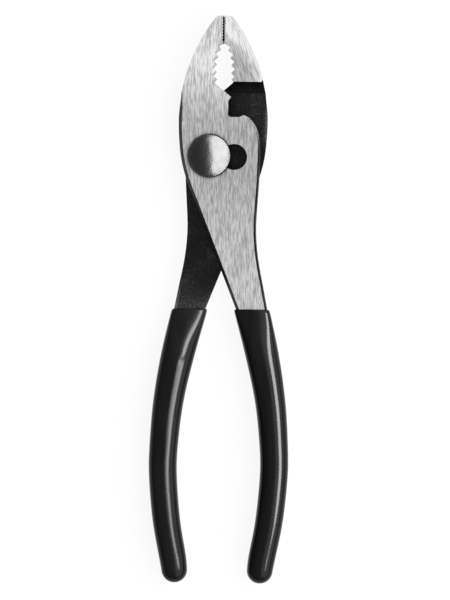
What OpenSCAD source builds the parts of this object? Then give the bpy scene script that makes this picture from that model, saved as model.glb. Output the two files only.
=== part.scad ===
// Slip joint pliers. Two halves of one forging cross at a bolt, which can sit in either of two
// seats in the front half. X runs across the tool, Y towards the jaw tips and Z up through the
// ground faces: the tool lies on its nut, with the domed bolt head up. Lengths are millimetres.

/* [Overall] */
// Distance from the pivot line to the jaw tips
jaw_reach = 49.4; // [47:0.1:53]
// Distance from the pivot line to the ends of the grips
handle_reach = 150.6; // [135:0.1:165]
// Thickness of the closed head
head_t = 9.5; // [8.5:0.1:11]
// Running gap between the lapped faces of the two halves
lap_gap = 0.1; // [0.06:0.01:0.2]

/* [Jaws] */
// Width of one jaw at its tip, before its corner is rounded
tip_w = 2.45; // [1.8:0.05:3.5]
// Radius of that corner
tip_r = 2; // [0.4:0.1:2.4]
// Centre line to the outer side of a jaw at its root
jaw_root_w = 14.8; // [13.5:0.1:15.5]
// Height of the jaw root above the pivot line
jaw_root_y = 22.2; // [21.5:0.1:23]
// Radius of the outer side of a jaw
jaw_side_r = 61; // [45:1:90]
// Gap between the meshing teeth of the closed jaws
jaw_gap = 0.42; // [0.2:0.01:0.6]
// Slant of the toothed faces through the jaw's thickness, in degrees
face_slant = -2.6; // [-3:0.1:3]
// Length of the flat gripping face behind the tip
flat_len = 9.6; // [8:0.1:12]
// Pitch of the fine teeth on the flat face
fine_pitch = 1.05; // [0.8:0.05:1.4]
// Depth of the fine teeth
fine_depth = 0.3; // [0.2:0.05:0.5]

/* [Pipe grip] */
// Radius of the curve that the tooth valleys follow
pipe_r = 19; // [16:0.5:30]
// Depth of the curve at its deepest, from the closed jaw line
pipe_depth = 4.05; // [3.3:0.05:4.6]
// Distance from the flat face to the first valley
pipe_lead = 1; // [0.8:0.05:2]
// Height of the last valley above the pivot line
pipe_end_y = 26.1; // [25:0.05:27]
// Pitch of the coarse teeth
coarse_pitch = 2.65; // [1.8:0.05:3.2]
// Depth of the coarse teeth
coarse_depth = 1.3; // [0.8:0.1:1.6]
// Height by which the front jaw's coarse teeth stand above the back jaw's
coarse_stagger = 0.66; // [0:0.02:0.8]

/* [Shoulder, beak and wire cutter] */
// Height of the full-thickness jaw's lower edge above the pivot line
shoulder_y = 26.2; // [25:0.1:27]
// Radius of the cove under that edge
cove_r = 3.9; // [3:0.1:4.4]
// Centre line to the point of the beak
beak_x = 2.7; // [2.2:0.1:3.4]
// Height of the beak's point above the pivot line
beak_y = 20.9; // [20:0.1:21.6]
// Centre line to the wall of the wire notch
notch_x = 1.7; // [1.2:0.1:2.2]
// Height of the notch's floor above the pivot line
notch_floor_y = 13.9; // [13:0.1:14.4]
// Corner radius of the notch
notch_r = 1; // [0.5:0.1:1.6]
// Centre line to the top of the lobe beside the notch
lobe_top_x = 7.3; // [6.5:0.1:8.5]
// Height of that lobe's top above the pivot line
lobe_top_y = 14.7; // [14.4:0.1:16]

/* [Joint plate and shank] */
// Centre line to the crossing side of the head at its widest
head_side_w = 15.7; // [15.2:0.1:17]
// Centre line to the lobe side of the head
lobe_w = 13.3; // [12.5:0.1:14.5]
// Centre line to the outer edge of the shank at its waist
waist_w = 12.1; // [11.5:0.1:13]
// Distance of the waist below the pivot line
waist_y = 25.5; // [20:0.5:30]
// Height of the upright flank above the lapped face
flank_h = 2.4; // [1.5:0.1:3.5]
// Width of the sloped rim on the crossing side
rim_w = 1.05; // [0.5:0.05:1.5]
// Length below the jaw root over which that rim grows to its width
rim_run = 6; // [2:0.5:10]
// Width of the sloped rim on the outer side
edge_w = 0.45; // [0.2:0.05:0.9]
// Break on the lapped face's edges beside the joint
lap_break = 0.15; // [0.1:0.05:0.4]
// Break on the lapped face's edges where the grip begins
mouth_break = 1; // [0.5:0.1:1.3]

/* [Pivot] */
// Centre line to the bolt in its narrow seat
pin_offset = 4.77; // [4.2:0.01:5.2]
// Distance between the two seats
seat_pitch = 8.75; // [8.2:0.05:8.9]
// Tilt of the slot from square, in degrees
slot_tilt = -2; // [-6:0.5:6]
// Diameter of a seat
seat_d = 8.9; // [8:0.1:9.4]
// Width of the neck between the seats
neck_w = 6.4; // [5.5:0.1:7]
// Clearance round the bolt's shank in the seats and the neck
seat_clear = 0.08; // [0.04:0.01:0.1]
// Diameter of the bolt's journal in the back half
journal_d = 7; // [6.4:0.1:7.6]
// Radial clearance of the journal
journal_clear = 0.05; // [0.02:0.01:0.1]
// Diameter of the bolt's head
bolt_head_d = 14.8; // [13:0.1:16]
// Height of the upright edge of the bolt's head
bolt_edge_h = 0.6; // [0.3:0.1:1.2]
// Height of the dome above that edge
dome_h = 2.6; // [1.5:0.1:4]
// Diameter of the bolt's tail in the nut
tail_d = 6; // [5:0.1:6.4]
// Radial clearance of the tail in the nut
tail_clear = 0.04; // [0.02:0.01:0.1]
// Distance across the nut's flats
nut_af = 11; // [10:0.1:12]
// Height of the nut
nut_h = 2.6; // [2:0.1:4]
// Chamfer on the nut's corners
nut_chamfer = 0.5; // [0.3:0.1:0.8]
// Running gap under the bolt's head and the nut
run_gap = 0.1; // [0.05:0.01:0.2]

/* [Handles] */
// Distance from the pivot line to the mouths of the grips
shank_len = 53.75; // [50:0.25:58]
// Centre line to the middle of a grip where it bows out most
bow_x = 19.65; // [18.5:0.05:22]
// Width of a grip at its mouth
grip_mouth_w = 12.8; // [12:0.1:12.9]
// Width of a grip near its end
grip_end_w = 9; // [8:0.05:10.5]
// Thickness of a grip behind its mouth
grip_t = 9.8; // [9:0.1:11]
// Thickness of a grip near its end
grip_end_t = 9; // [8.4:0.1:10.4]
// Radius of a grip's round end
grip_end_r = 4.6; // [3.8:0.05:5.4]
// Wall of the grips
grip_wall = 0.85; // [0.6:0.05:1.2]
// Rounding of a grip's lip
lip_r = 0.4; // [0.2:0.05:0.6]
// Length over which the half-thickness shank swells to the full handle
swell_len = 17; // [12:0.5:24]

/* [Hidden] */
$fn = 64;

// Overrun of every cut, and clearance of the sweep round the bolt
overrun = 1;
sweep_clear = 0.25;
// Overlap of the joint plate with the jaw above the jaw root, and of the jaw with the plate below
root_overlap = 0.4;
root_lap = 4;

// Levels above and below the lapped plane, and the height of that plane
face_z = head_t / 2;
lap_z = lap_gap / 2;
rest_z = face_z + run_gap + nut_h;
frame_y = (handle_reach - jaw_reach) / 2;

// Number of rings in each stretch of the forging and the grip, and of points round each ring
head_rings = 4;
lobe_rings = 14;
shank_rings = 18;
tang_rings = 14;
grip_rings = 22;
round_rings = 7;
steel_sides = 16;
grip_sides = 24;
arc_steps = 20;
cove_steps = 10;

// Cross sections: oval power of the handles, and of the grip's squarer mouth
oval_power = 2.6;
mouth_power = 5;

// Crossing side of the head: shares of the jaw root's height and of the head's half width
head_side_shares = [[1, 0.945], [0.57, 1], [0, 0.945]];
// Crossing side below the pivot: shares of the shank's length and of the head's half width
crossing_shares = [[-0.158, 0.808], [-0.298, 0.618]];
// Outer edge from the pivot to the waist: shares of the waist's depth and of the step inwards
waist_shares = [[0, 0], [0.4, 0.34], [0.65, 0.67], [1, 1]];
// Outer edge from the waist to the mouth: shares of that length and of the step outwards
flare_shares = [[0.275, 0.12], [0.5, 0.347], [0.73, 0.66], [1, 1]];
// Lobe beside the notch: powers of its rounded side
lobe_powers = [3.4, 0.72];
// Middle line of a grip: shares of its length and of the bow
bow_shares = [[0, 0.553], [0.165, 0.753], [0.34, 0.916], [0.514, 0.993], [0.6, 0.999],
    [0.776, 0.92], [0.92, 0.788], [0.955, 0.766], [1, 0.76]];
// Width of a grip: shares of its length and of the step from its mouth to its end
width_shares = [[0, 0], [0.165, 0.2], [0.34, 0.52], [0.514, 0.72], [0.6, 0.75], [0.776, 0.775],
    [0.92, 0.82], [0.955, 0.95], [1, 1]];
// Place of the pipe grip's deepest point in its length
pipe_deepest_share = 0.355;
// Place of the notch wall's upper end, between the floor and the beak
notch_top_share = 0.8;
// Inset of the jaw's foot inside the plate's rim
root_inset_share = 1.4;
// Turn of the last ring of a round end, in degrees
end_turn = 84;

function mix(a, b, t) = a + (b - a) * t;
function ramp(t) = let (u = min(1, max(0, t))) u * u * (3 - 2 * u);
function arc(c, r, from, to, steps) =
    [for (i = [0:steps]) c + r * [cos(mix(from, to, i / steps)), sin(mix(from, to, i / steps))]];
function signed_pow(v, p) = sign(v) * pow(abs(v), p);

// Smooth curve through rows of [place, value], in rising order of place
function slope(rows, i) = let (a = rows[max(0, i - 1)], b = rows[min(len(rows) - 1, i + 1)])
    (b[1] - a[1]) / (b[0] - a[0]);
function row_at(rows, at, i = 0) =
    i < len(rows) - 2 && at > rows[i + 1][0] ? row_at(rows, at, i + 1) : i;
function along(rows, at) = let (
        i = row_at(rows, at),
        span = rows[i + 1][0] - rows[i][0],
        t = min(1, max(0, (at - rows[i][0]) / span)))
    rows[i][1] * (1 + 2 * t) * (1 - t) * (1 - t) + rows[i + 1][1] * t * t * (3 - 2 * t)
    + slope(rows, i) * span * t * (1 - t) * (1 - t) - slope(rows, i + 1) * span * t * t * (1 - t);

// Handle: share of the grip's length, middle line, width and levels at a depth below the pivot line
grip_len = handle_reach - shank_len;
function grip_share(d) = (d - shank_len) / grip_len;
function grip_x(d) = bow_x * along(bow_shares, grip_share(d));
function grip_w(d) = mix(grip_mouth_w, grip_end_w, along(width_shares, grip_share(d)));
function swell(d) = ramp((d - shank_len) / swell_len);
function body_t(d) = mix(grip_t, grip_end_t, grip_share(d));
function grip_top(d) = mix(face_z + grip_wall, body_t(d) / 2, swell(d));
function grip_low(d) = mix(lap_z - grip_wall, -body_t(d) / 2, swell(d));

// Edges of the forging at a depth below the pivot line
mouth_in_x = grip_x(shank_len) - grip_mouth_w / 2 + grip_wall;
mouth_out_x = grip_x(shank_len) + grip_mouth_w / 2 - grip_wall;
plate_top_y = jaw_root_y + root_overlap;
crossing_rows = concat(
    [for (s = head_side_shares) [-s[0] * jaw_root_y, -s[1] * head_side_w]],
    [for (s = crossing_shares) [-s[0] * shank_len, -s[1] * head_side_w]],
    [[shank_len, mouth_in_x]]);
outer_rows = concat(
    [for (s = waist_shares) [s[0] * waist_y, mix(lobe_w, waist_w, s[1])]],
    [for (s = flare_shares) [mix(waist_y, shank_len, s[0]), mix(waist_w, mouth_out_x, s[1])]]);
function lobe_x(y) =
    mix(lobe_top_x, lobe_w, pow(1 - pow(y / lobe_top_y, lobe_powers[0]), lobe_powers[1]));
function crossing_x(d) =
    d > shank_len ? grip_x(d) - grip_w(d) / 2 + grip_wall : along(crossing_rows, d);
function outer_x(d) = d > shank_len ? grip_x(d) + grip_w(d) / 2 - grip_wall
    : d > 0 ? along(outer_rows, d)
    : -d < lobe_top_y ? lobe_x(-d)
    : mix(lobe_top_x, 0, (-d - lobe_top_y) / (plate_top_y - lobe_top_y));

// Depths of the rings: the joint plate from its top to the mouth, then the tang to its round end
tang_end_r = grip_end_r - grip_wall;
tang_round_y = handle_reach - grip_end_r;
plate_depths = concat(
    [for (i = [0:head_rings]) -mix(plate_top_y, lobe_top_y, i / head_rings)],
    [for (i = [1:lobe_rings]) -lobe_top_y * cos(90 * i / lobe_rings)],
    [for (i = [1:shank_rings]) shank_len * i / shank_rings]);
tang_depths = [for (i = [1:tang_rings]) mix(shank_len, tang_round_y, i / tang_rings)];

// Cross section of the forging: a flat plate with sloped rims, turning into an oval in the grip
function plate_point(k, xl, xr, zl, zt, brk, rim) = let (zf = mix(zl, zt, flank_h / (face_z - lap_z)))
    [[xr, mix(zl, zf, 0.5)], [xr, zf], [xr - edge_w, zt], [mix(xl, xr, 0.75), zt],
    [mix(xl, xr, 0.5), zt], [mix(xl, xr, 0.25), zt], [xl + rim, zt], [xl, zf],
    [xl, mix(zl, zf, 0.5)], [xl, zl + brk], [xl + brk, zl], [mix(xl, xr, 0.25), zl],
    [mix(xl, xr, 0.5), zl], [mix(xl, xr, 0.75), zl], [xr - brk, zl], [xr, zl + brk]][k];
function oval_point(a, xl, xr, zl, zt, power) =
    [mix(xl, xr, (1 + signed_pow(cos(a), 2 / power)) / 2),
    mix(zl, zt, (1 + signed_pow(sin(a), 2 / power)) / 2)];
function steel_ring(d) = let (
        xl = crossing_x(d),
        xr = outer_x(d),
        zl = grip_low(max(d, shank_len)) + grip_wall,
        zt = grip_top(max(d, shank_len)) - grip_wall,
        brk = mix(lap_break, mouth_break, ramp((d - waist_y) / (shank_len - waist_y))),
        rim = rim_w * min(1, (d + plate_top_y) / rim_run))
    [for (k = [0:steel_sides - 1]) let (
            p = plate_point(k, xl, xr, zl, zt, brk, rim),
            q = oval_point(360 * k / steel_sides, xl, xr, zl, zt, oval_power),
            m = mix(p, q, swell(d)))
        [m[0], -d, m[1]]];

// Ring of the grip's outside, drawn in by an inset all round
function grip_ring(d, inset) = let (
        x = grip_x(d),
        half = grip_w(d) / 2 - inset,
        power = mix(mouth_power, oval_power, swell(d)))
    [for (k = [0:grip_sides - 1])
        let (p = oval_point(360 * k / grip_sides, x - half, x + half, grip_low(d) + inset,
            grip_top(d) - inset, power))
        [p[0], -d, p[1]]];

// Rings round a ball-shaped end: the last full ring, shrunk towards its middle
function shrunk(ring, by, drop) = let (
        middle = [for (i = [0:2]) (min([for (p = ring) p[i]]) + max([for (p = ring) p[i]])) / 2])
    [for (p = ring) mix(middle, p, by) - [0, drop, 0]];
function round_end(ring, r) =
    [for (i = [1:round_rings]) let (a = end_turn * i / round_rings) shrunk(ring, cos(a), r * sin(a))];

// Closed solid through a list of rings that run down the handle
module loft(rings) {
    n = len(rings[0]);
    last = len(rings) - 1;
    polyhedron(
        points = [for (ring = rings) for (p = ring) p],
        faces = concat(
            [[for (k = [0:n - 1]) k]],
            [for (i = [0:last - 1]) for (k = [0:n - 1])
                [(i + 1) * n + k, (i + 1) * n + (k + 1) % n, i * n + k]],
            [for (i = [0:last - 1]) for (k = [0:n - 1])
                [(i + 1) * n + (k + 1) % n, i * n + (k + 1) % n, i * n + k]],
            [[for (k = [n - 1:-1:0]) last * n + k]]));
}

// Jaw: fine teeth of the flat face, which mesh, coarse teeth of the pipe grip, and the outer side
flat_y = jaw_reach - flat_len;
fine_count = round(flat_len / fine_pitch);
fine_step = flat_len / fine_count;
pipe_start_y = flat_y - pipe_lead;
pipe_len = pipe_start_y - pipe_end_y;
pipe_middle_y = pipe_end_y + pipe_len * pipe_deepest_share;
function valley_x(y) = -pipe_depth + pipe_r - sqrt(pipe_r * pipe_r - pow(y - pipe_middle_y, 2));
function fine_points(phase) = [for (i = [-1:2 * fine_count])
    [((i + phase) % 2 == 0 ? fine_depth : -fine_depth) / 2 - jaw_gap / 2, jaw_reach - i * fine_step / 2]];
// Each coarse tooth runs from a valley to its tip; the last one is as long as what is left
function coarse_points(phase) = let (
        start_y = pipe_start_y + (phase - 1 / 2) * coarse_stagger,
        count = round((start_y - pipe_end_y) / coarse_pitch))
    concat(
        [for (i = [0:count - 1]) for (v = [0, 1]) let (
                top_y = start_y - i * coarse_pitch,
                step = i < count - 1 ? coarse_pitch : top_y - pipe_end_y,
                y = top_y - v * step / 2)
            [valley_x(y) + v * coarse_depth * step / coarse_pitch, y]],
        [[valley_x(pipe_end_y), pipe_end_y]]);
jaw_root = [-jaw_root_w, jaw_root_y];
jaw_chord = [-tip_w - jaw_gap / 2, jaw_reach] - jaw_root;
side_sag = sqrt(jaw_side_r * jaw_side_r - jaw_chord * jaw_chord / 4);
side_centre = jaw_root + jaw_chord / 2 + side_sag * [jaw_chord[1], -jaw_chord[0]] / norm(jaw_chord);
function angle_to(p) = atan2(p[1] - side_centre[1], p[0] - side_centre[0]);
tip_round_y = jaw_reach - tip_r;
tip_round_x = side_centre[0] - sqrt(pow(jaw_side_r - tip_r, 2) - pow(tip_round_y - side_centre[1], 2));
tip_round = [tip_round_x, tip_round_y];
// The root's angle is taken on from half a turn, because the side faces along -X
side_points = concat(
    arc(side_centre, jaw_side_r, (angle_to(jaw_root) + 360) % 360, angle_to(tip_round), arc_steps),
    arc(tip_round, tip_r, angle_to(tip_round), 90, cove_steps));

module jaw_blank() {
    foot_x = -jaw_root_w + rim_w * root_inset_share;
    foot_y = jaw_root_y - root_lap;
    polygon(concat(
        [[beak_x, jaw_reach], [beak_x, foot_y], [foot_x, foot_y], [foot_x, jaw_root_y]],
        side_points));
}

// Cut along the toothed face and the beak, slanted so that light doesn't pass the closed jaws
module mouth_cut(phase) {
    outside_x = beak_x + overrun;
    rotate([0, face_slant, 0])
        translate([0, 0, -face_z - overrun])
            linear_extrude(head_t + 2 * overrun)
                polygon(concat(
                    fine_points(phase),
                    coarse_points(phase),
                    [[beak_x, beak_y], [outside_x, beak_y], [outside_x, jaw_reach + fine_step]]));
}

// Room under the jaw's shoulder for the other half: a cove, and the sweep round each bolt seat
facing_y = beak_y - beak_x * (pipe_end_y - beak_y) / (valley_x(pipe_end_y) - beak_x);
sweep_r = norm([pin_offset, facing_y]) + sweep_clear;
module shoulder_relief(pins) {
    centre = [shoulder_y - cove_r, lap_z - cove_r];
    width = jaw_root_w + beak_x + 2 * overrun;
    low = -face_z - overrun;
    translate([-jaw_root_w - overrun, 0, 0])
        rotate([90, 0, 90])
            linear_extrude(width)
                polygon(concat(
                    arc(centre, cove_r, 0, 90, cove_steps),
                    [[0, lap_z], [0, low], [shoulder_y, low]]));
    for (p = pins)
        translate([p[0], p[1], low])
            cylinder(r = sweep_r, h = lap_z - low);
}

// Wire notch beside the beak, open towards the outside
module wire_notch() {
    outside_x = lobe_w + overrun;
    translate([0, 0, -overrun])
        linear_extrude(face_z + 2 * overrun)
            polygon(concat(
                [[beak_x, beak_y], [notch_x, mix(notch_floor_y, beak_y, notch_top_share)]],
                arc([notch_x + notch_r, notch_floor_y + notch_r], notch_r, 180, 270, cove_steps),
                [[(notch_x + lobe_top_x) / 2 + notch_r, notch_floor_y], [lobe_top_x, lobe_top_y],
                [outside_x, lobe_top_y], [outside_x, beak_y]]));
}

// One half as forged and ground, jaw on the left and handle on the right, lapped face down
module half_forging(pins, phase) {
    difference() {
        translate([0, 0, -face_z])
            linear_extrude(head_t)
                jaw_blank();
        mouth_cut(phase);
        shoulder_relief(pins);
    }
    steel_rings = [for (d = concat(plate_depths, tang_depths)) steel_ring(d)];
    loft(concat(steel_rings, round_end(steel_ring(tang_round_y), tang_end_r)));
}

// Moves a piece from the pivot line and the lapped plane to the tool's own frame
module placed() {
    translate([0, frame_y, rest_z])
        children();
}
module turned_over() {
    rotate([0, 180, 0])
        children();
}

pin = [-pin_offset, 0];
far_seat = pin + seat_pitch * [cos(slot_tilt), sin(slot_tilt)];

module front_half() {
    color("silver")
        placed()
            difference() {
                half_forging([pin, far_seat], 1);
                wire_notch();
                for (seat = [pin, far_seat])
                    translate([seat[0], seat[1], -overrun])
                        cylinder(d = seat_d, h = face_z + 2 * overrun);
                translate([pin[0], pin[1], -overrun])
                    rotate(slot_tilt)
                        translate([0, -neck_w / 2, 0])
                            cube([seat_pitch, neck_w, face_z + 2 * overrun]);
            }
}

module back_half() {
    color("dimgray")
        placed()
            turned_over()
                difference() {
                    half_forging([-pin], 0);
                    wire_notch();
                    translate([-pin[0], -pin[1], -overrun])
                        cylinder(d = journal_d + 2 * journal_clear, h = face_z + 2 * overrun);
                }
}

module pivot_bolt() {
    head_z = face_z + run_gap;
    dome_r = (pow(bolt_head_d / 2, 2) + dome_h * dome_h) / (2 * dome_h);
    shank_d = seat_d - 2 * seat_clear;
    flats_w = neck_w - 2 * seat_clear;
    color("gainsboro")
        placed()
            translate([pin[0], pin[1], 0]) {
                intersection() {
                    translate([0, 0, head_z])
                        cylinder(d = bolt_head_d, h = bolt_edge_h + dome_h + overrun);
                    translate([0, 0, head_z + bolt_edge_h + dome_h - dome_r])
                        sphere(r = dome_r);
                }
                rotate(slot_tilt)
                    intersection() {
                        cylinder(d = shank_d, h = head_z);
                        translate([-shank_d / 2, -flats_w / 2, 0])
                            cube([shank_d, flats_w, head_z]);
                    }
                translate([0, 0, -head_z])
                    cylinder(d = journal_d, h = head_z);
                translate([0, 0, -rest_z])
                    cylinder(d = tail_d, h = rest_z);
            }
}

module pivot_nut() {
    corner_d = nut_af / cos(30);
    color("dimgray")
        placed()
            translate([pin[0], pin[1], -rest_z])
                difference() {
                    intersection() {
                        cylinder(d = corner_d, h = nut_h, $fn = 6);
                        cylinder(
                            d1 = corner_d - 2 * nut_chamfer,
                            d2 = corner_d - 2 * nut_chamfer + 2 * nut_h,
                            h = nut_h);
                    }
                    translate([0, 0, -overrun])
                        cylinder(d = tail_d + 2 * tail_clear, h = nut_h + 2 * overrun);
                }
}

// Dipped sleeve over one handle, open at its mouth and closed round the tang's end
module grip_sleeve() {
    depths = [for (i = [0:grip_rings]) mix(shank_len + lip_r, tang_round_y, i / grip_rings)];
    rings = concat([grip_ring(shank_len, lip_r)], [for (d = depths) grip_ring(d, 0)]);
    mouth_depths = [plate_depths[len(plate_depths) - 2], shank_len];
    steel_rings = [for (d = concat(mouth_depths, tang_depths)) steel_ring(d)];
    difference() {
        loft(concat(rings, round_end(grip_ring(tang_round_y, 0), grip_end_r)));
        loft(concat(steel_rings, round_end(steel_ring(tang_round_y), tang_end_r)));
    }
}

module right_grip() {
    color("black")
        placed()
            grip_sleeve();
}

module left_grip() {
    color("black")
        placed()
            turned_over()
                grip_sleeve();
}

front_half();
back_half();
pivot_bolt();
pivot_nut();
right_grip();
left_grip();
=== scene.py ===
import math

import bpy
from mathutils import Matrix, Vector


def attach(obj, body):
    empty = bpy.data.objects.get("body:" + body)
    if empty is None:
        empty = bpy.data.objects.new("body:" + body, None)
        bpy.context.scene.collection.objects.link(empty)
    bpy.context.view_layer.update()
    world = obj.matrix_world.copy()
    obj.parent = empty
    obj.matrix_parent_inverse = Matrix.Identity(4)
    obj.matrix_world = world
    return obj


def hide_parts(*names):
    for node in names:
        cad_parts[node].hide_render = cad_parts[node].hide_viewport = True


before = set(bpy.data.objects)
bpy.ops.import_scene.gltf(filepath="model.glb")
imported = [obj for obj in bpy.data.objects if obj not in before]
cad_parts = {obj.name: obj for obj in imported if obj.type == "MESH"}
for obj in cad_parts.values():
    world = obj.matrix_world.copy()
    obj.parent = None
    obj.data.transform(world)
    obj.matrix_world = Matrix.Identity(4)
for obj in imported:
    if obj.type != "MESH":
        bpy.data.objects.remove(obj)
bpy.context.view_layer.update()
mm = 0.001
pivot = (-4.77, 50.6)  # the bolt's axis in plan, mm
touch = 0.01           # a point this near a plane lies on it, mm
print("frame:", ", ".join(sorted(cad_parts)))


def pickOnly(piece):
    bpy.ops.object.select_all(action="DESELECT")
    piece.select_set(True)
    bpy.context.view_layer.objects.active = piece


def editMode(piece, kind="VERT"):
    pickOnly(piece)
    bpy.ops.object.mode_set(mode="EDIT")
    bpy.ops.mesh.select_mode(type=kind)
    bpy.ops.mesh.select_all(action="DESELECT")


def objectMode():
    bpy.ops.object.mode_set(mode="OBJECT")


def selectOnly(mesh, elements, indices):  # in object mode; a face left selected would bring its corners back
    for kind in (mesh.vertices, mesh.edges, mesh.polygons):
        kind.foreach_set("select", [False] * len(kind))
    for i in indices:
        elements[i].select = True


def applyModifier(piece, kind, **settings):
    pickOnly(piece)
    modifier = piece.modifiers.new(kind.lower(), kind)
    for name, value in settings.items():
        setattr(modifier, name, value)
    bpy.ops.object.modifier_apply(modifier=modifier.name)


cleaning = {
    "doubles": 0.002,   # corners of CAD triangles this near are one, mm
    "flat": 0.6,        # faces that turn by less are one face, degrees
    "shortEdge": 0.03,  # shorter edges are closed up before the rounding, mm
    "sliver": 0.004,    # and slivers thinner than this after it, mm
}


def mergedCopy(nodeName, pieceName, cutY=None):  # the CAD mesh is loose triangles, so its copy is merged
    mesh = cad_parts[nodeName].data.copy()
    mesh.name = pieceName
    piece = bpy.data.objects.new(pieceName, mesh)
    bpy.context.scene.collection.objects.link(piece)
    mesh.materials.clear()
    editMode(piece)
    bpy.ops.mesh.customdata_custom_splitnormals_clear()
    bpy.ops.mesh.select_all(action="SELECT")
    bpy.ops.mesh.remove_doubles(threshold=cleaning["doubles"] * mm)
    if cutY is not None:  # one clean cut across the holes, then every other line on a flat face goes
        bpy.ops.mesh.bisect(plane_co=(0, cutY * mm, 0), plane_no=(0, 1, 0))
        bpy.ops.mesh.mark_seam(clear=False)
        bpy.ops.mesh.select_all(action="SELECT")
        bpy.ops.mesh.dissolve_limited(angle_limit=math.radians(cleaning["flat"]), delimit={"SEAM"})
        bpy.ops.mesh.mark_seam(clear=True)
        bpy.ops.mesh.remove_doubles(threshold=cleaning["shortEdge"] * mm)
    objectMode()
    return piece


def closeSlivers(piece):  # those that rounding and cutting leave
    editMode(piece)
    bpy.ops.mesh.select_all(action="SELECT")
    bpy.ops.mesh.remove_doubles(threshold=cleaning["sliver"] * mm)
    bpy.ops.mesh.dissolve_degenerate(threshold=cleaning["sliver"] * mm)
    objectMode()


def smoothShade(piece, angle, weighted=False):  # weighted keeps flat faces flat up to their rounded edges
    pickOnly(piece)
    bpy.ops.object.shade_smooth_by_angle(angle=math.radians(angle))
    if weighted:
        applyModifier(piece, "WEIGHTED_NORMAL", keep_sharp=True, weight=80)


# materials

def startMaterial(name):
    material = bpy.data.materials.new(name)
    material.use_nodes = True
    tree = material.node_tree
    tree.nodes.clear()
    output = tree.nodes.new("ShaderNodeOutputMaterial")
    shader = tree.nodes.new("ShaderNodeBsdfPrincipled")
    tree.links.new(shader.outputs["BSDF"], output.inputs["Surface"])
    return material, tree, shader


def grain(tree, size, turn=0, detail=4, rough=0.55):  # noise with grains of a size in mm, turned about Z
    coords = tree.nodes.new("ShaderNodeTexCoord")
    place = tree.nodes.new("ShaderNodeMapping")
    place.vector_type = "TEXTURE"
    place.inputs["Rotation"].default_value[2] = math.radians(turn)
    place.inputs["Scale"].default_value = [s * mm for s in size]
    noise = tree.nodes.new("ShaderNodeTexNoise")
    noise.inputs["Scale"].default_value = 1
    noise.inputs["Detail"].default_value = detail
    noise.inputs["Roughness"].default_value = rough
    tree.links.new(coords.outputs["Object"], place.inputs["Vector"])
    tree.links.new(place.outputs["Vector"], noise.inputs["Vector"])
    return noise.outputs["Fac"]


def remap(tree, value, low, high, outLow, outHigh):
    node = tree.nodes.new("ShaderNodeMapRange")
    node.inputs["From Min"].default_value = low
    node.inputs["From Max"].default_value = high
    node.inputs["To Min"].default_value = outLow
    node.inputs["To Max"].default_value = outHigh
    tree.links.new(value, node.inputs["Value"])
    return node.outputs["Result"]


def blend(tree, a, b, share):  # mixes two grey values
    node = tree.nodes.new("ShaderNodeMix")
    node.data_type = "FLOAT"
    node.inputs[0].default_value = share
    tree.links.new(a, node.inputs[2])
    tree.links.new(b, node.inputs[3])
    return node.outputs[0]


def tint(tree, value, stops):  # stops: place and colour
    ramp = tree.nodes.new("ShaderNodeValToRGB")
    ramp.color_ramp.elements[0].position = stops[0][0]
    ramp.color_ramp.elements[0].color = (*stops[0][1], 1)
    ramp.color_ramp.elements[1].position = stops[-1][0]
    ramp.color_ramp.elements[1].color = (*stops[-1][1], 1)
    for place, colour in stops[1:-1]:
        ramp.color_ramp.elements.new(place).color = (*colour, 1)
    tree.links.new(value, ramp.inputs["Fac"])
    return ramp.outputs["Color"]


def bump(tree, shader, height, depth):  # depth in mm
    node = tree.nodes.new("ShaderNodeBump")
    node.inputs["Strength"].default_value = 1
    node.inputs["Distance"].default_value = depth * mm
    tree.links.new(height, node.inputs["Height"])
    tree.links.new(node.outputs["Normal"], shader.inputs["Normal"])


def calculate(tree, operation, a, b):
    node = tree.nodes.new("ShaderNodeMath")
    node.operation = operation
    tree.links.new(a, node.inputs[0])
    tree.links.new(b, node.inputs[1])
    return node.outputs[0]


def grey(*levels):  # place and level pairs to colour stops
    return [(place, (level, level, level * 1.01)) for place, level in levels]


def reach(tree, centre, low, high, levels):  # levels between two distances from a point in plan, mm
    coords = tree.nodes.new("ShaderNodeTexCoord")
    plan = tree.nodes.new("ShaderNodeVectorMath")
    plan.operation = "MULTIPLY"
    plan.inputs[1].default_value = (1, 1, 0)
    away = tree.nodes.new("ShaderNodeVectorMath")
    away.operation = "DISTANCE"
    away.inputs[1].default_value = (centre[0] * mm, centre[1] * mm, 0)
    tree.links.new(coords.outputs["Object"], plan.inputs[0])
    tree.links.new(plan.outputs["Vector"], away.inputs[0])
    share = remap(tree, away.outputs["Value"], low * mm, high * mm, 0, 1)
    return tint(tree, share, grey(*levels))


def groundSteel(name, line, turn, *shades):  # belt-ground face, with the size of its lines and their turn; the shades multiply painted light and shade into its colour
    material, tree, shader = startMaterial(name)
    fine = grain(tree, line, turn, 3, 0.5)
    broad = grain(tree, (2.5, 8, 2.5), turn, 3)
    lines = blend(tree, fine, broad, 0.18)
    level = remap(tree, lines, 0.4, 0.6, 0.7, 1.3)
    for centre, low, high, levels in shades:
        level = calculate(tree, "MULTIPLY", level, reach(tree, centre, low, high, levels))
    tree.links.new(level, shader.inputs["Base Color"])
    tree.links.new(remap(tree, fine, 0.3, 0.7, 0.44, 0.32), shader.inputs["Roughness"])
    bump(tree, shader, lines, 0.02)
    shader.inputs["Metallic"].default_value = 1
    return material


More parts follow.
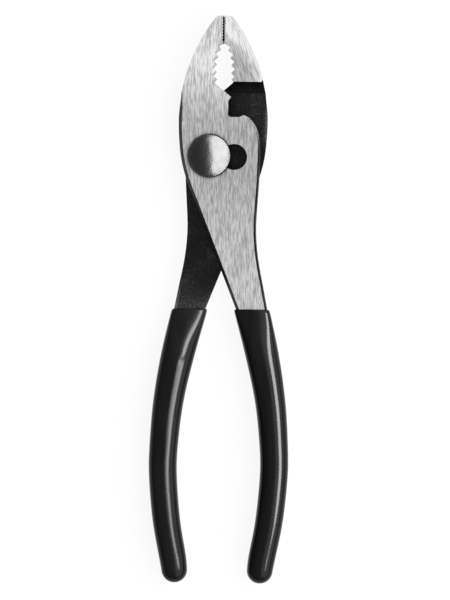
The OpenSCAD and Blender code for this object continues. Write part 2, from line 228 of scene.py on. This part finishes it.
def blackOxide(name, level, specks):  # painted light and shade along the shank, darker partway down and much lighter towards the grips, and a painted highlight at the lap's outer edge
    material, tree, shader = startMaterial(name)
    scale = grain(tree, (0.6, 0.6, 0.6), 0, 4, 0.7)
    cloud = grain(tree, (7, 9, 7), 0, 3)
    both = blend(tree, scale, cloud, 0.35)
    levels = grey((0.4, 0.5 * level), (0.52, level), (0.58, 1.7 * level), (0.66, specks))
    # painted shade partway down the shank and painted light towards the grips
    rubAndShade = reach(tree, (0, pivot[1]), 10, 54, [(0, 1), (0.5, 0.75), (0.75, 0.9), (1, 3.2)])
    # painted highlight along the lap's right edge
    rightEdgeHighlight = [(0, 22), (0.1, 2.8), (0.17, 1.55), (0.9, 1.5), (1, 1)]
    edge = reach(tree, (76, 62), 60, 75, rightEdgeHighlight)  # measured from a point well to the right
    shade = calculate(tree, "MULTIPLY", calculate(tree, "MULTIPLY", tint(tree, both, levels), rubAndShade), edge)
    tree.links.new(shade, shader.inputs["Base Color"])
    tree.links.new(remap(tree, both, 0.3, 0.7, 0.62, 0.42), shader.inputs["Roughness"])
    bump(tree, shader, scale, 0.05)
    shader.inputs["Specular IOR Level"].default_value = 0.1
    return material


def wornOxide():  # where hands and cloths have rubbed the black thin
    material, tree, shader = startMaterial("wornOxide")
    rubAndShade = grain(tree, (0.5, 1.6, 0.5), 0, 4, 0.6)
    fade = reach(tree, (0, pivot[1]), 44, 55, [(0, 0.06), (1, 1)])
    level = calculate(tree, "MULTIPLY", tint(tree, rubAndShade, grey((0.35, 0.05), (0.65, 0.22))), fade)
    tree.links.new(level, shader.inputs["Base Color"])
    tree.links.new(remap(tree, rubAndShade, 0.3, 0.7, 0.55, 0.4), shader.inputs["Roughness"])
    bump(tree, shader, rubAndShade, 0.03)
    shader.inputs["Metallic"].default_value = 1
    return material


def milledSteel():  # teeth and shear edges
    material, tree, shader = startMaterial("milledSteel")
    marks = grain(tree, (3, 3, 0.25), 0, 4)
    tree.links.new(tint(tree, marks, grey((0.3, 0.4), (0.7, 0.62))), shader.inputs["Base Color"])
    tree.links.new(remap(tree, marks, 0.3, 0.7, 0.5, 0.36), shader.inputs["Roughness"])
    bump(tree, shader, marks, 0.012)
    shader.inputs["Metallic"].default_value = 1
    return material


def satinDome():
    material, tree, shader = startMaterial("satinDome")
    cloud = grain(tree, (2.4, 2.4, 2.4), 0, 4, 0.6)
    fine = grain(tree, (0.4, 0.4, 0.4), 0, 3)
    both = blend(tree, cloud, fine, 0.2)
    tree.links.new(tint(tree, both, grey((0.3, 0.3), (0.7, 0.38))), shader.inputs["Base Color"])
    tree.links.new(remap(tree, both, 0.3, 0.7, 0.32, 0.22), shader.inputs["Roughness"])
    bump(tree, shader, both, 0.1)
    shader.inputs["Metallic"].default_value = 1
    return material


def dippedVinyl():
    material, tree, shader = startMaterial("dippedVinyl")
    wave = grain(tree, (7, 30, 7), 0, 2)
    skin = grain(tree, (0.5, 0.5, 0.5), 0, 3)
    tree.links.new(tint(tree, wave, grey((0.3, 0.0035), (0.7, 0.006))), shader.inputs["Base Color"])
    tree.links.new(remap(tree, wave, 0.3, 0.7, 0.12, 0.17), shader.inputs["Roughness"])
    bump(tree, shader, blend(tree, wave, skin, 0.03), 0.02)
    shader.inputs["IOR"].default_value = 1.45
    shader.inputs["Specular IOR Level"].default_value = 0.14
    return material


beltLine = (0.28, 3.2, 0.28)  # width, length and depth of a ground line, mm
finish = {
    "groundFront": groundSteel(  # a painted sheen that changes along the length, brightest on the jaw, and a painted shadow round the bolt's head
        "groundFront", beltLine, 0,
        # painted sheen along the tool, measured from the tip
        ((0, 100), 0, 100, [(0, 0.7), (0.18, 0.86), (0.38, 0.5), (0.55, 0.48), (0.82, 0.58), (0.98, 0.6)]),
        # painted shadow that darkens the face close round the bolt's head
        (pivot, 7.3, 8.9, [(0, 0.03), (0.2, 0.1), (0.32, 0.55), (0.6, 0.85), (1, 1)])),
    "groundBack": groundSteel(  # a painted highlight, brightest at the tip and outer side, and painted shade in the shoulder's corner
        "groundBack", beltLine, 17,
        # painted highlight across the jaw, brightest towards its outer side
        ((-15, 68), 25, 34, [(0, 0.49), (0.12, 0.52), (0.3, 0.58), (0.47, 0.74), (0.64, 1.06), (0.9, 0.95)]),
        # painted shade: a black bite in the shoulder's corner, in place of a rounded corner's dark edge
        ((14.1, 76.8), 0.6, 1.1, [(0, 0.01), (1, 1)])),
    "rim": groundSteel(  # the lobe's rolled rim, bright above and black below, measured from far above; the fade of its highlight down the rim is painted
        "rolledRim", beltLine, 0,
        ((0, 1064), 1000, 1012, [(0, 0.55), (0.4, 0.4), (0.75, 0.1), (1, 0.01)])),
    "side": groundSteel(  # the jaws' outer sides, ground along the outline
        "groundSide", (4, 4, 0.3), 0, ((0, 100), 0, 30, [(0, 0.6), (1, 0.5)])),
    "oxide": blackOxide("blackOxide", 0.012, 0.06),
    # painted shade: near-black for the cove at the jaw's shoulder and for the slit between the jaws
    "soot": blackOxide("coveBlack", 0.003, 0.008),
    "worn": wornOxide(),
    "milled": milledSteel(),
    "dome": satinDome(),
    "vinyl": dippedVinyl(),
}
print("materials:", len(finish))

# the two forged halves: the same forging, the back one turned over about Y

half = {
    "lapZ": 7.45,        # height of the lapped plane, mm
    "faceZ": 4.75,       # lapped plane to a ground face, and the other heights in Z from there
    "faceDepth": 0.25,   # what lies this near a ground face belongs to it
    "sharp": 35,         # edges that turn by more are rounded and stay sharp, degrees
    "edge": (0.14, 3),   # rounding of the ground face's edges, and its steps
    "roll": (0.7, 6),    # wider rounding of the outer rim, from the lobe down into the sleeve
    "rollY": (-64, 13.2),
    "rollX": 9.2,        # which lies further out than this
    "rimZ": 3.8,         # and above this
    "tooth": (0.2, 1),   # rounding of the fine teeth
    "fineX": 0.6,        # the fine teeth lie this near the centre line
    "fineY": (40.1, 49.2),
    "cutY": -0.12,       # a cut across the plate here passes through the slot
    "toothY": 20.0,      # teeth lie above this height
    "tipY": 49.4,
    "toothX": (0.9, 0.19),  # and this near the centre line, at the tip and more per mm below it
    "slitX": 0.8,        # the slit between the fine teeth, which starts at slitY
    "slitY": (39.8, 49.35),
    "jawRootY": 22.3,    # the ground outer side of the jaw starts here
    "outerX": -2.2,
    "lobeY": (1.5, 15.2),  # the polished stretch of the lobe's rim
    "lobeX": 6.5,
    "wornY": -45,        # below this the lapped face's chamfers are rubbed
    "wornZ": 1.2,
    "coveY": (22.4, 26.3),
    "coveZ": 0.5,
    "steep": (0.35, 0.97),     # a ground face's least Z of its normal, on the jaw and below it
    "slitLean": 0.95,          # most Z in the slit, where the faces slant
    "outward": (0.5, 0.9),     # least outward X on the jaw's outer side, and least Y at its tip
    "wall": 0.5,               # most Z of both
    "lobeOut": 0.3,            # least outward X on the polished stretch of the lobe
    "toothWall": 0.3,          # most Z between the teeth
    "chamferZ": (-0.97, -0.3),  # Z of the rubbed chamfers
}


def inForging(point, side):  # from the frame in metres to the forging's own millimetres
    return (side * point[0] / mm, point[1] / mm - pivot[1], side * (point[2] / mm - half["lapZ"]))


def forgedHalf(nodeName, pieceName, side, ground):
    piece = mergedCopy(nodeName, pieceName, pivot[1] + half["cutY"])
    mesh = piece.data

    def place(index):
        return inForging(mesh.vertices[index].co, side)

    def middle(edge):
        return [sum(c) / 2 for c in zip(*[place(v) for v in edge.vertices])]

    def onFace(edge):
        return all(abs(place(v)[2]) > half["faceZ"] - touch for v in edge.vertices)

    def nearTeeth(x, y):
        return y > half["toothY"] and x > -half["toothX"][0] - half["toothX"][1] * (half["tipY"] - y)

    def rolled(edge):  # the rim that the grinding has rolled over
        x, y, z = middle(edge)
        return x > half["rollX"] and half["rollY"][0] < y < half["rollY"][1] and z > 0

    def fineTooth(edge):
        x, y, z = middle(edge)
        return abs(x) < half["fineX"] and half["fineY"][0] < y < half["fineY"][1]

    def plainEdge(edge):
        return not rolled(edge) and not nearTeeth(*middle(edge)[:2])

    for key, wanted in (("tooth", fineTooth), ("roll", rolled), ("edge", plainEdge)):
        size, steps = half[key]
        editMode(piece, "EDGE")
        bpy.ops.mesh.edges_select_sharp(sharpness=math.radians(half["sharp"]))
        objectMode()
        selectOnly(mesh, mesh.edges, [e.index for e in mesh.edges if e.select and onFace(e) and wanted(e)])
        bpy.ops.object.mode_set(mode="EDIT")
        bpy.ops.mesh.bevel(offset=size * mm, segments=steps, affect="EDGES", clamp_overlap=False)
        objectMode()
    closeSlivers(piece)

    slots = (ground, "oxide", "milled", "worn", "soot", "rim", "side")
    for key in slots:
        mesh.materials.append(finish[key])
    for polygon in mesh.polygons:
        x, y, z = inForging(polygon.center, side)
        normal = (side * polygon.normal[0], polygon.normal[1], side * polygon.normal[2])
        upright = abs(normal[2])
        slit = abs(x) < half["slitX"] and y > half["slitY"][0] and upright < half["slitLean"]
        onJaw = y > half["jawRootY"]  # below the jaw the edges of the face stay black
        steep = half["steep"][0] if onJaw else half["steep"][1]
        flat = upright > steep and abs(z) > half["faceZ"] - half["faceDepth"] and not slit
        sideward, tipward = half["outward"]
        outward = normal[0] < -sideward and x < half["outerX"] or normal[1] > tipward
        outerSide = outward and onJaw and upright < half["wall"]
        high = z > half["rimZ"]
        onLobe = half["lobeY"][0] < y < half["lobeY"][1] and x > half["lobeX"]
        lobe = onLobe and normal[0] > half["lobeOut"] and high
        teeth = nearTeeth(x, y) and upright < half["toothWall"]
        rubbed = half["chamferZ"][0] < normal[2] < half["chamferZ"][1]
        chamfer = y < half["wornY"] and z < half["wornZ"] and rubbed
        inCove = half["coveY"][0] < y < half["coveY"][1] and z < half["coveZ"] and x < 0
        # the cove and the slit take the near-black painted shade
        cove = inCove or slit and y < half["slitY"][1]
        rim = x > half["rollX"] and y < half["rollY"][1] and high and upright < half["steep"][1]
        kinds = (
            (rim, "rim" if y > half["lobeY"][0] else "oxide"),
            (flat or lobe, ground),
            (outerSide, "side"),
            (cove, "soot"),
            (teeth, "milled"),
            (chamfer, "worn"),
            (True, "oxide"),
        )
        polygon.material_index = slots.index(next(kind for fits, kind in kinds if fits))
    smoothShade(piece, half["sharp"], weighted=True)
    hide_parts(nodeName)
    print(pieceName, len(mesh.polygons), "faces")
    return piece


frontHalf = forgedHalf("front_half", "frontHalf", 1, "groundFront")
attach(frontHalf, "front")
backHalf = forgedHalf("back_half", "backHalf", -1, "groundBack")
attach(backHalf, "back")

# the pivot bolt, with a head turned up ring by ring, and its nut

bolt = {
    "underZ": 12.3,       # underside of the head, mm
    "topZ": 15.5,
    "domeRadius": 11.83,
    "edge": [(7.22, 12.3), (7.36, 12.36), (7.4, 12.5), (7.4, 12.74), (7.34, 12.88)],  # radius and height
    "rings": 16,
    "sides": 96,
    "sharp": 30,          # edges that turn by more stay sharp, degrees
}


def boltHead():
    x, y = pivot
    rings = list(bolt["edge"])
    for i in range(1, bolt["rings"]):
        radius = bolt["edge"][-1][0] * math.cos(math.pi / 2 * i / bolt["rings"])
        drop = bolt["domeRadius"] - math.sqrt(bolt["domeRadius"] ** 2 - radius ** 2)
        rings.append((radius, bolt["topZ"] - drop))
    bpy.ops.object.select_all(action="DESELECT")
    bpy.ops.mesh.primitive_circle_add(
        vertices=bolt["sides"], radius=rings[0][0] * mm, fill_type="NGON",
        location=Vector((x, y, rings[0][1])) * mm)
    head = bpy.context.active_object
    bpy.ops.object.transform_apply(location=True, rotation=True, scale=True)
    editMode(head, "EDGE")
    bpy.ops.mesh.select_non_manifold()
    for (radius, z), (nextRadius, nextZ) in zip(rings, rings[1:]):
        bpy.ops.mesh.extrude_edges_move(TRANSFORM_OT_translate={"value": (0, 0, (nextZ - z) * mm)})
        bpy.ops.transform.resize(
            value=(nextRadius / radius, nextRadius / radius, 1), center_override=Vector((x, y, nextZ)) * mm)
    bpy.ops.mesh.edge_face_add()
    bpy.ops.mesh.poke()
    bpy.ops.mesh.select_all(action="SELECT")
    bpy.ops.mesh.normals_make_consistent(inside=False)
    objectMode()
    return head


shank = mergedCopy("pivot_bolt", "pivotBolt")
editMode(shank, "FACE")  # faces are picked from here on
objectMode()
upper = [p.index for p in shank.data.polygons if p.center[2] > (bolt["underZ"] - touch) * mm]
selectOnly(shank.data, shank.data.polygons, upper)
bpy.ops.object.mode_set(mode="EDIT")
bpy.ops.mesh.delete(type="FACE")
bpy.ops.mesh.select_mode(type="EDGE")
bpy.ops.mesh.select_non_manifold()
bpy.ops.mesh.edge_face_add()
objectMode()
shank.data.materials.append(finish["milled"])
head = boltHead()
head.data.materials.append(finish["dome"])
pickOnly(head)
shank.select_set(True)
bpy.context.view_layer.objects.active = shank
bpy.ops.object.join()
pivotBolt = shank
smoothShade(pivotBolt, bolt["sharp"], weighted=True)
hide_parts("pivot_bolt")
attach(pivotBolt, "pivot")

nut = mergedCopy("pivot_nut", "pivotNut")
nut.data.materials.append(finish["oxide"])
smoothShade(nut, bolt["sharp"])
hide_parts("pivot_nut")
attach(nut, "pivot")
print("bolt and nut")

# the dipped grips: an eight-sided cage drawn down the handle and smoothed

grip = {
    "squareness": (0.26, 0.5),  # corner cut of the cage at the mouth and past the swell
    "squareDepth": (54, 68),   # the section turns round between these depths, mm
    "draw": 24,                # smoothing draws the cage in by a corner cut over this
    "levels": 3,
    "ringPoints": 24,          # on each ring of the CAD sleeve's outside; those inside have fewer
    "sharp": 60,               # edges that turn by more stay sharp, degrees
}


def gripStations(nodeName):  # depth, middle, width, top and bottom of each ring of the CAD sleeve, mm
    rings = {}
    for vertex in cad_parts[nodeName].data.vertices:
        x, y, z = inForging(vertex.co, 1)
        rings.setdefault(round(-y, 2), set()).add((round(x, 3), round(z, 3)))
    stations = []
    for depth in sorted(rings):
        if len(rings[depth]) >= grip["ringPoints"]:
            xs, zs = zip(*rings[depth])
            stations.append((depth, (min(xs) + max(xs)) / 2, max(xs) - min(xs), max(zs), min(zs)))
    return stations


def squareness(depth):  # corner cut of the cage, from the mouth's to the round part's
    first, last = grip["squareDepth"]
    share = min(max((depth - first) / (last - first), 0), 1)
    share = share * share * (3 - 2 * share)
    return grip["squareness"][0] + share * (grip["squareness"][1] - grip["squareness"][0])


def shapeRing(piece, centre, factor):  # narrows the ring's top and bottom pairs, then its side pairs
    objectMode()
    mesh = piece.data
    ring = [v.index for v in mesh.vertices if v.select]
    for axis, value in ((2, (factor, 1, 1)), (0, (1, 1, factor))):
        away = {i: abs(mesh.vertices[i].co[axis] - centre[axis]) for i in ring}
        furthest = 0.999 * max(away.values())  # both pairs, whatever the last digits
        selectOnly(mesh, mesh.vertices, [i for i in ring if away[i] > furthest])
        bpy.ops.object.mode_set(mode="EDIT")
        bpy.ops.transform.resize(value=value, center_override=centre)
        objectMode()
    selectOnly(mesh, mesh.vertices, ring)
    bpy.ops.object.mode_set(mode="EDIT")


def gripCage(name):
    cut = squareness(0)
    bpy.ops.object.select_all(action="DESELECT")
    bpy.ops.mesh.primitive_plane_add(size=2, rotation=(math.pi / 2, 0, 0))
    piece = bpy.context.active_object
    piece.name = piece.data.name = name
    bpy.ops.object.transform_apply(location=True, rotation=True, scale=True)
    editMode(piece)
    bpy.ops.mesh.select_all(action="SELECT")
    bpy.ops.mesh.bevel(offset=cut, affect="VERTICES", segments=1)
    spot = Vector((0, 0, 0))
    size = (2, 2)
    for depth, middle, width, top, low in gripStations("right_grip"):
        target = Vector((middle, -depth, (top + low) / 2)) * mm
        if spot.length:
            bpy.ops.mesh.extrude_region_move(TRANSFORM_OT_translate={"value": target - spot})
        else:
            bpy.ops.transform.translate(value=target)
        nextCut = squareness(depth)
        swell = mm / (1 - nextCut / grip["draw"])
        wanted = (width * swell, (top - low) * swell)
        bpy.ops.transform.resize(value=(wanted[0] / size[0], 1, wanted[1] / size[1]), center_override=target)
        shapeRing(piece, target, (1 - nextCut) / (1 - cut))
        spot, size, cut = target, wanted, nextCut
    bpy.ops.mesh.select_all(action="DESELECT")
    bpy.ops.mesh.select_mode(type="EDGE")
    bpy.ops.mesh.select_non_manifold()
    bpy.ops.mesh.edge_face_add()  # the mouth
    bpy.ops.mesh.select_all(action="SELECT")
    bpy.ops.mesh.normals_make_consistent(inside=False)
    objectMode()
    return piece


def gripOn(nodeName, pieceName, side, body, steel):
    piece = gripCage(pieceName)
    applyModifier(piece, "SUBSURF", levels=grip["levels"], render_levels=grip["levels"])
    turn = Matrix.Rotation(math.pi if side < 0 else 0, 4, "Y")
    piece.matrix_world = Matrix.Translation(Vector((0, pivot[1], half["lapZ"])) * mm) @ turn
    pickOnly(piece)
    bpy.ops.object.transform_apply(location=True, rotation=True, scale=True)
    applyModifier(piece, "BOOLEAN", operation="DIFFERENCE", solver="EXACT", object=steel)  # the bore
    closeSlivers(piece)
    piece.data.materials.clear()
    piece.data.materials.append(finish["vinyl"])
    for polygon in piece.data.polygons:
        polygon.material_index = 0
    smoothShade(piece, grip["sharp"])
    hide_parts(nodeName)
    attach(piece, body)
    print(pieceName, len(piece.data.polygons), "faces")
    return piece


rightGrip = gripOn("right_grip", "rightGrip", 1, "front", frontHalf)
leftGrip = gripOn("left_grip", "leftGrip", -1, "back", backHalf)

# floor, lamps and camera

stage = {
    "floorSize": 12,
    "floorGlow": 0.92,    # what the floor keeps in full shadow
    "floorColour": 0.1,   # what the lamps add to it
    "bounceColour": 0.8,  # what the floor throws back on the object
    "worldGrey": 0.06,
}

bpy.ops.object.select_all(action="DESELECT")
bpy.ops.mesh.primitive_plane_add(size=stage["floorSize"])
floor = bpy.context.active_object
floor.name = "floor"
paper = bpy.data.materials.new("paper")
paper.use_nodes = True
tree = paper.node_tree
tree.nodes.clear()
output = tree.nodes.new("ShaderNodeOutputMaterial")
path = tree.nodes.new("ShaderNodeLightPath")
seen = tree.nodes.new("ShaderNodeMath")
seen.operation = "ADD"
seen.use_clamp = True
through = tree.nodes.new("ShaderNodeMath")
through.operation = "ADD"
through.use_clamp = True
tree.links.new(path.outputs["Is Camera Ray"], seen.inputs[0])
tree.links.new(path.outputs["Is Glossy Ray"], seen.inputs[1])
tree.links.new(seen.outputs[0], through.inputs[0])
tree.links.new(path.outputs["Is Transmission Ray"], through.inputs[1])
glow = tree.nodes.new("ShaderNodeEmission")
glow.inputs["Strength"].default_value = stage["floorGlow"]
faint = tree.nodes.new("ShaderNodeBsdfDiffuse")
faint.inputs["Color"].default_value = (*[stage["floorColour"]] * 3, 1)
lit = tree.nodes.new("ShaderNodeAddShader")
tree.links.new(glow.outputs[0], lit.inputs[0])
tree.links.new(faint.outputs[0], lit.inputs[1])
plain = tree.nodes.new("ShaderNodeBsdfDiffuse")
plain.inputs["Color"].default_value = (*[stage["bounceColour"]] * 3, 1)
choice = tree.nodes.new("ShaderNodeMixShader")
tree.links.new(through.outputs[0], choice.inputs[0])
tree.links.new(plain.outputs[0], choice.inputs[1])
tree.links.new(lit.outputs[0], choice.inputs[2])
tree.links.new(choice.outputs[0], output.inputs["Surface"])
floor.data.materials.append(paper)

world = bpy.data.worlds.new("studio")
bpy.context.scene.world = world
world.use_nodes = True
world.node_tree.nodes["Background"].inputs["Color"].default_value = (*[stage["worldGrey"]] * 3, 1)

lamps = {  # middle, what it looks at, direction of its length, width, length and brightness of its face
    "tent": ((0, 0, 2.2), (0, 0, 0), (0, 1, 0), 16, 16, 0.8),
    "softbox": ((0.80, 0.15, 0.93), (0, 0, 0.01), (0, 1, 0), 1.65, 6, 2.4),
    "leftStrip": ((0.17, -0.066, 0.46), (-0.02, -0.06, 0.01), (0.95, -0.3, 0), 0.04, 0.26, 38),
    "mouthStrip": ((0.165, 0.14, 0.46), (-0.02, -0.01, 0.01), (0, 1, 0), 0.13, 0.3, 38),
    "rightStrip": ((0.345, -0.045, 0.46), (0.02, -0.05, 0.01), (0.36, -0.93, 0), 0.18, 0.24, 46),
}
litPieces = {  # each lamp lights these and nothing else
    "tent": [frontHalf, backHalf, nut],
    "softbox": [pivotBolt, rightGrip, leftGrip, floor],
    "leftStrip": [leftGrip],
    "mouthStrip": [leftGrip],
    "rightStrip": [rightGrip],
}

for name, (spot, aim, lean, width, length, brightness) in lamps.items():
    bpy.ops.object.light_add(type="AREA", location=spot)
    lamp = bpy.context.active_object
    lamp.name = name
    lamp.data.shape = "RECTANGLE"
    lamp.data.size = width
    lamp.data.size_y = length
    lamp.data.energy = brightness * math.pi * width * length
    lamp.visible_camera = False
    lamp.light_linking.receiver_collection = bpy.data.collections.new(name + "Pieces")
    for piece in litPieces[name]:
        lamp.light_linking.receiver_collection.objects.link(piece)
    back = (Vector(spot) - Vector(aim)).normalized()
    along = (Vector(lean) - back * back.dot(Vector(lean))).normalized()
    across = along.cross(back)
    lamp.matrix_world = Matrix((
        (across.x, along.x, back.x, spot[0]),
        (across.y, along.y, back.y, spot[1]),
        (across.z, along.z, back.z, spot[2]),
        (0, 0, 0, 1)))

shot = {
    "aim": (0.00149, -0.00009, 0.0122),  # the point in the middle of the picture
    "fieldHeight": 0.2112,               # metres from top to bottom there
    "distance": 2.0,
    "clipEnd": 20,
    "roll": 0.809,                       # the tool lies a little turned in the picture
}
bpy.ops.object.camera_add(
    location=Vector(shot["aim"]) + Vector((0, 0, shot["distance"])),
    rotation=(0, 0, math.radians(shot["roll"])))
camera = bpy.context.active_object
camera.data.lens = camera.data.sensor_width * shot["distance"] / shot["fieldHeight"]
camera.data.clip_end = shot["clipEnd"]
bpy.context.scene.camera = camera
bpy.context.scene.view_settings.view_transform = "Standard"
print("stage set")
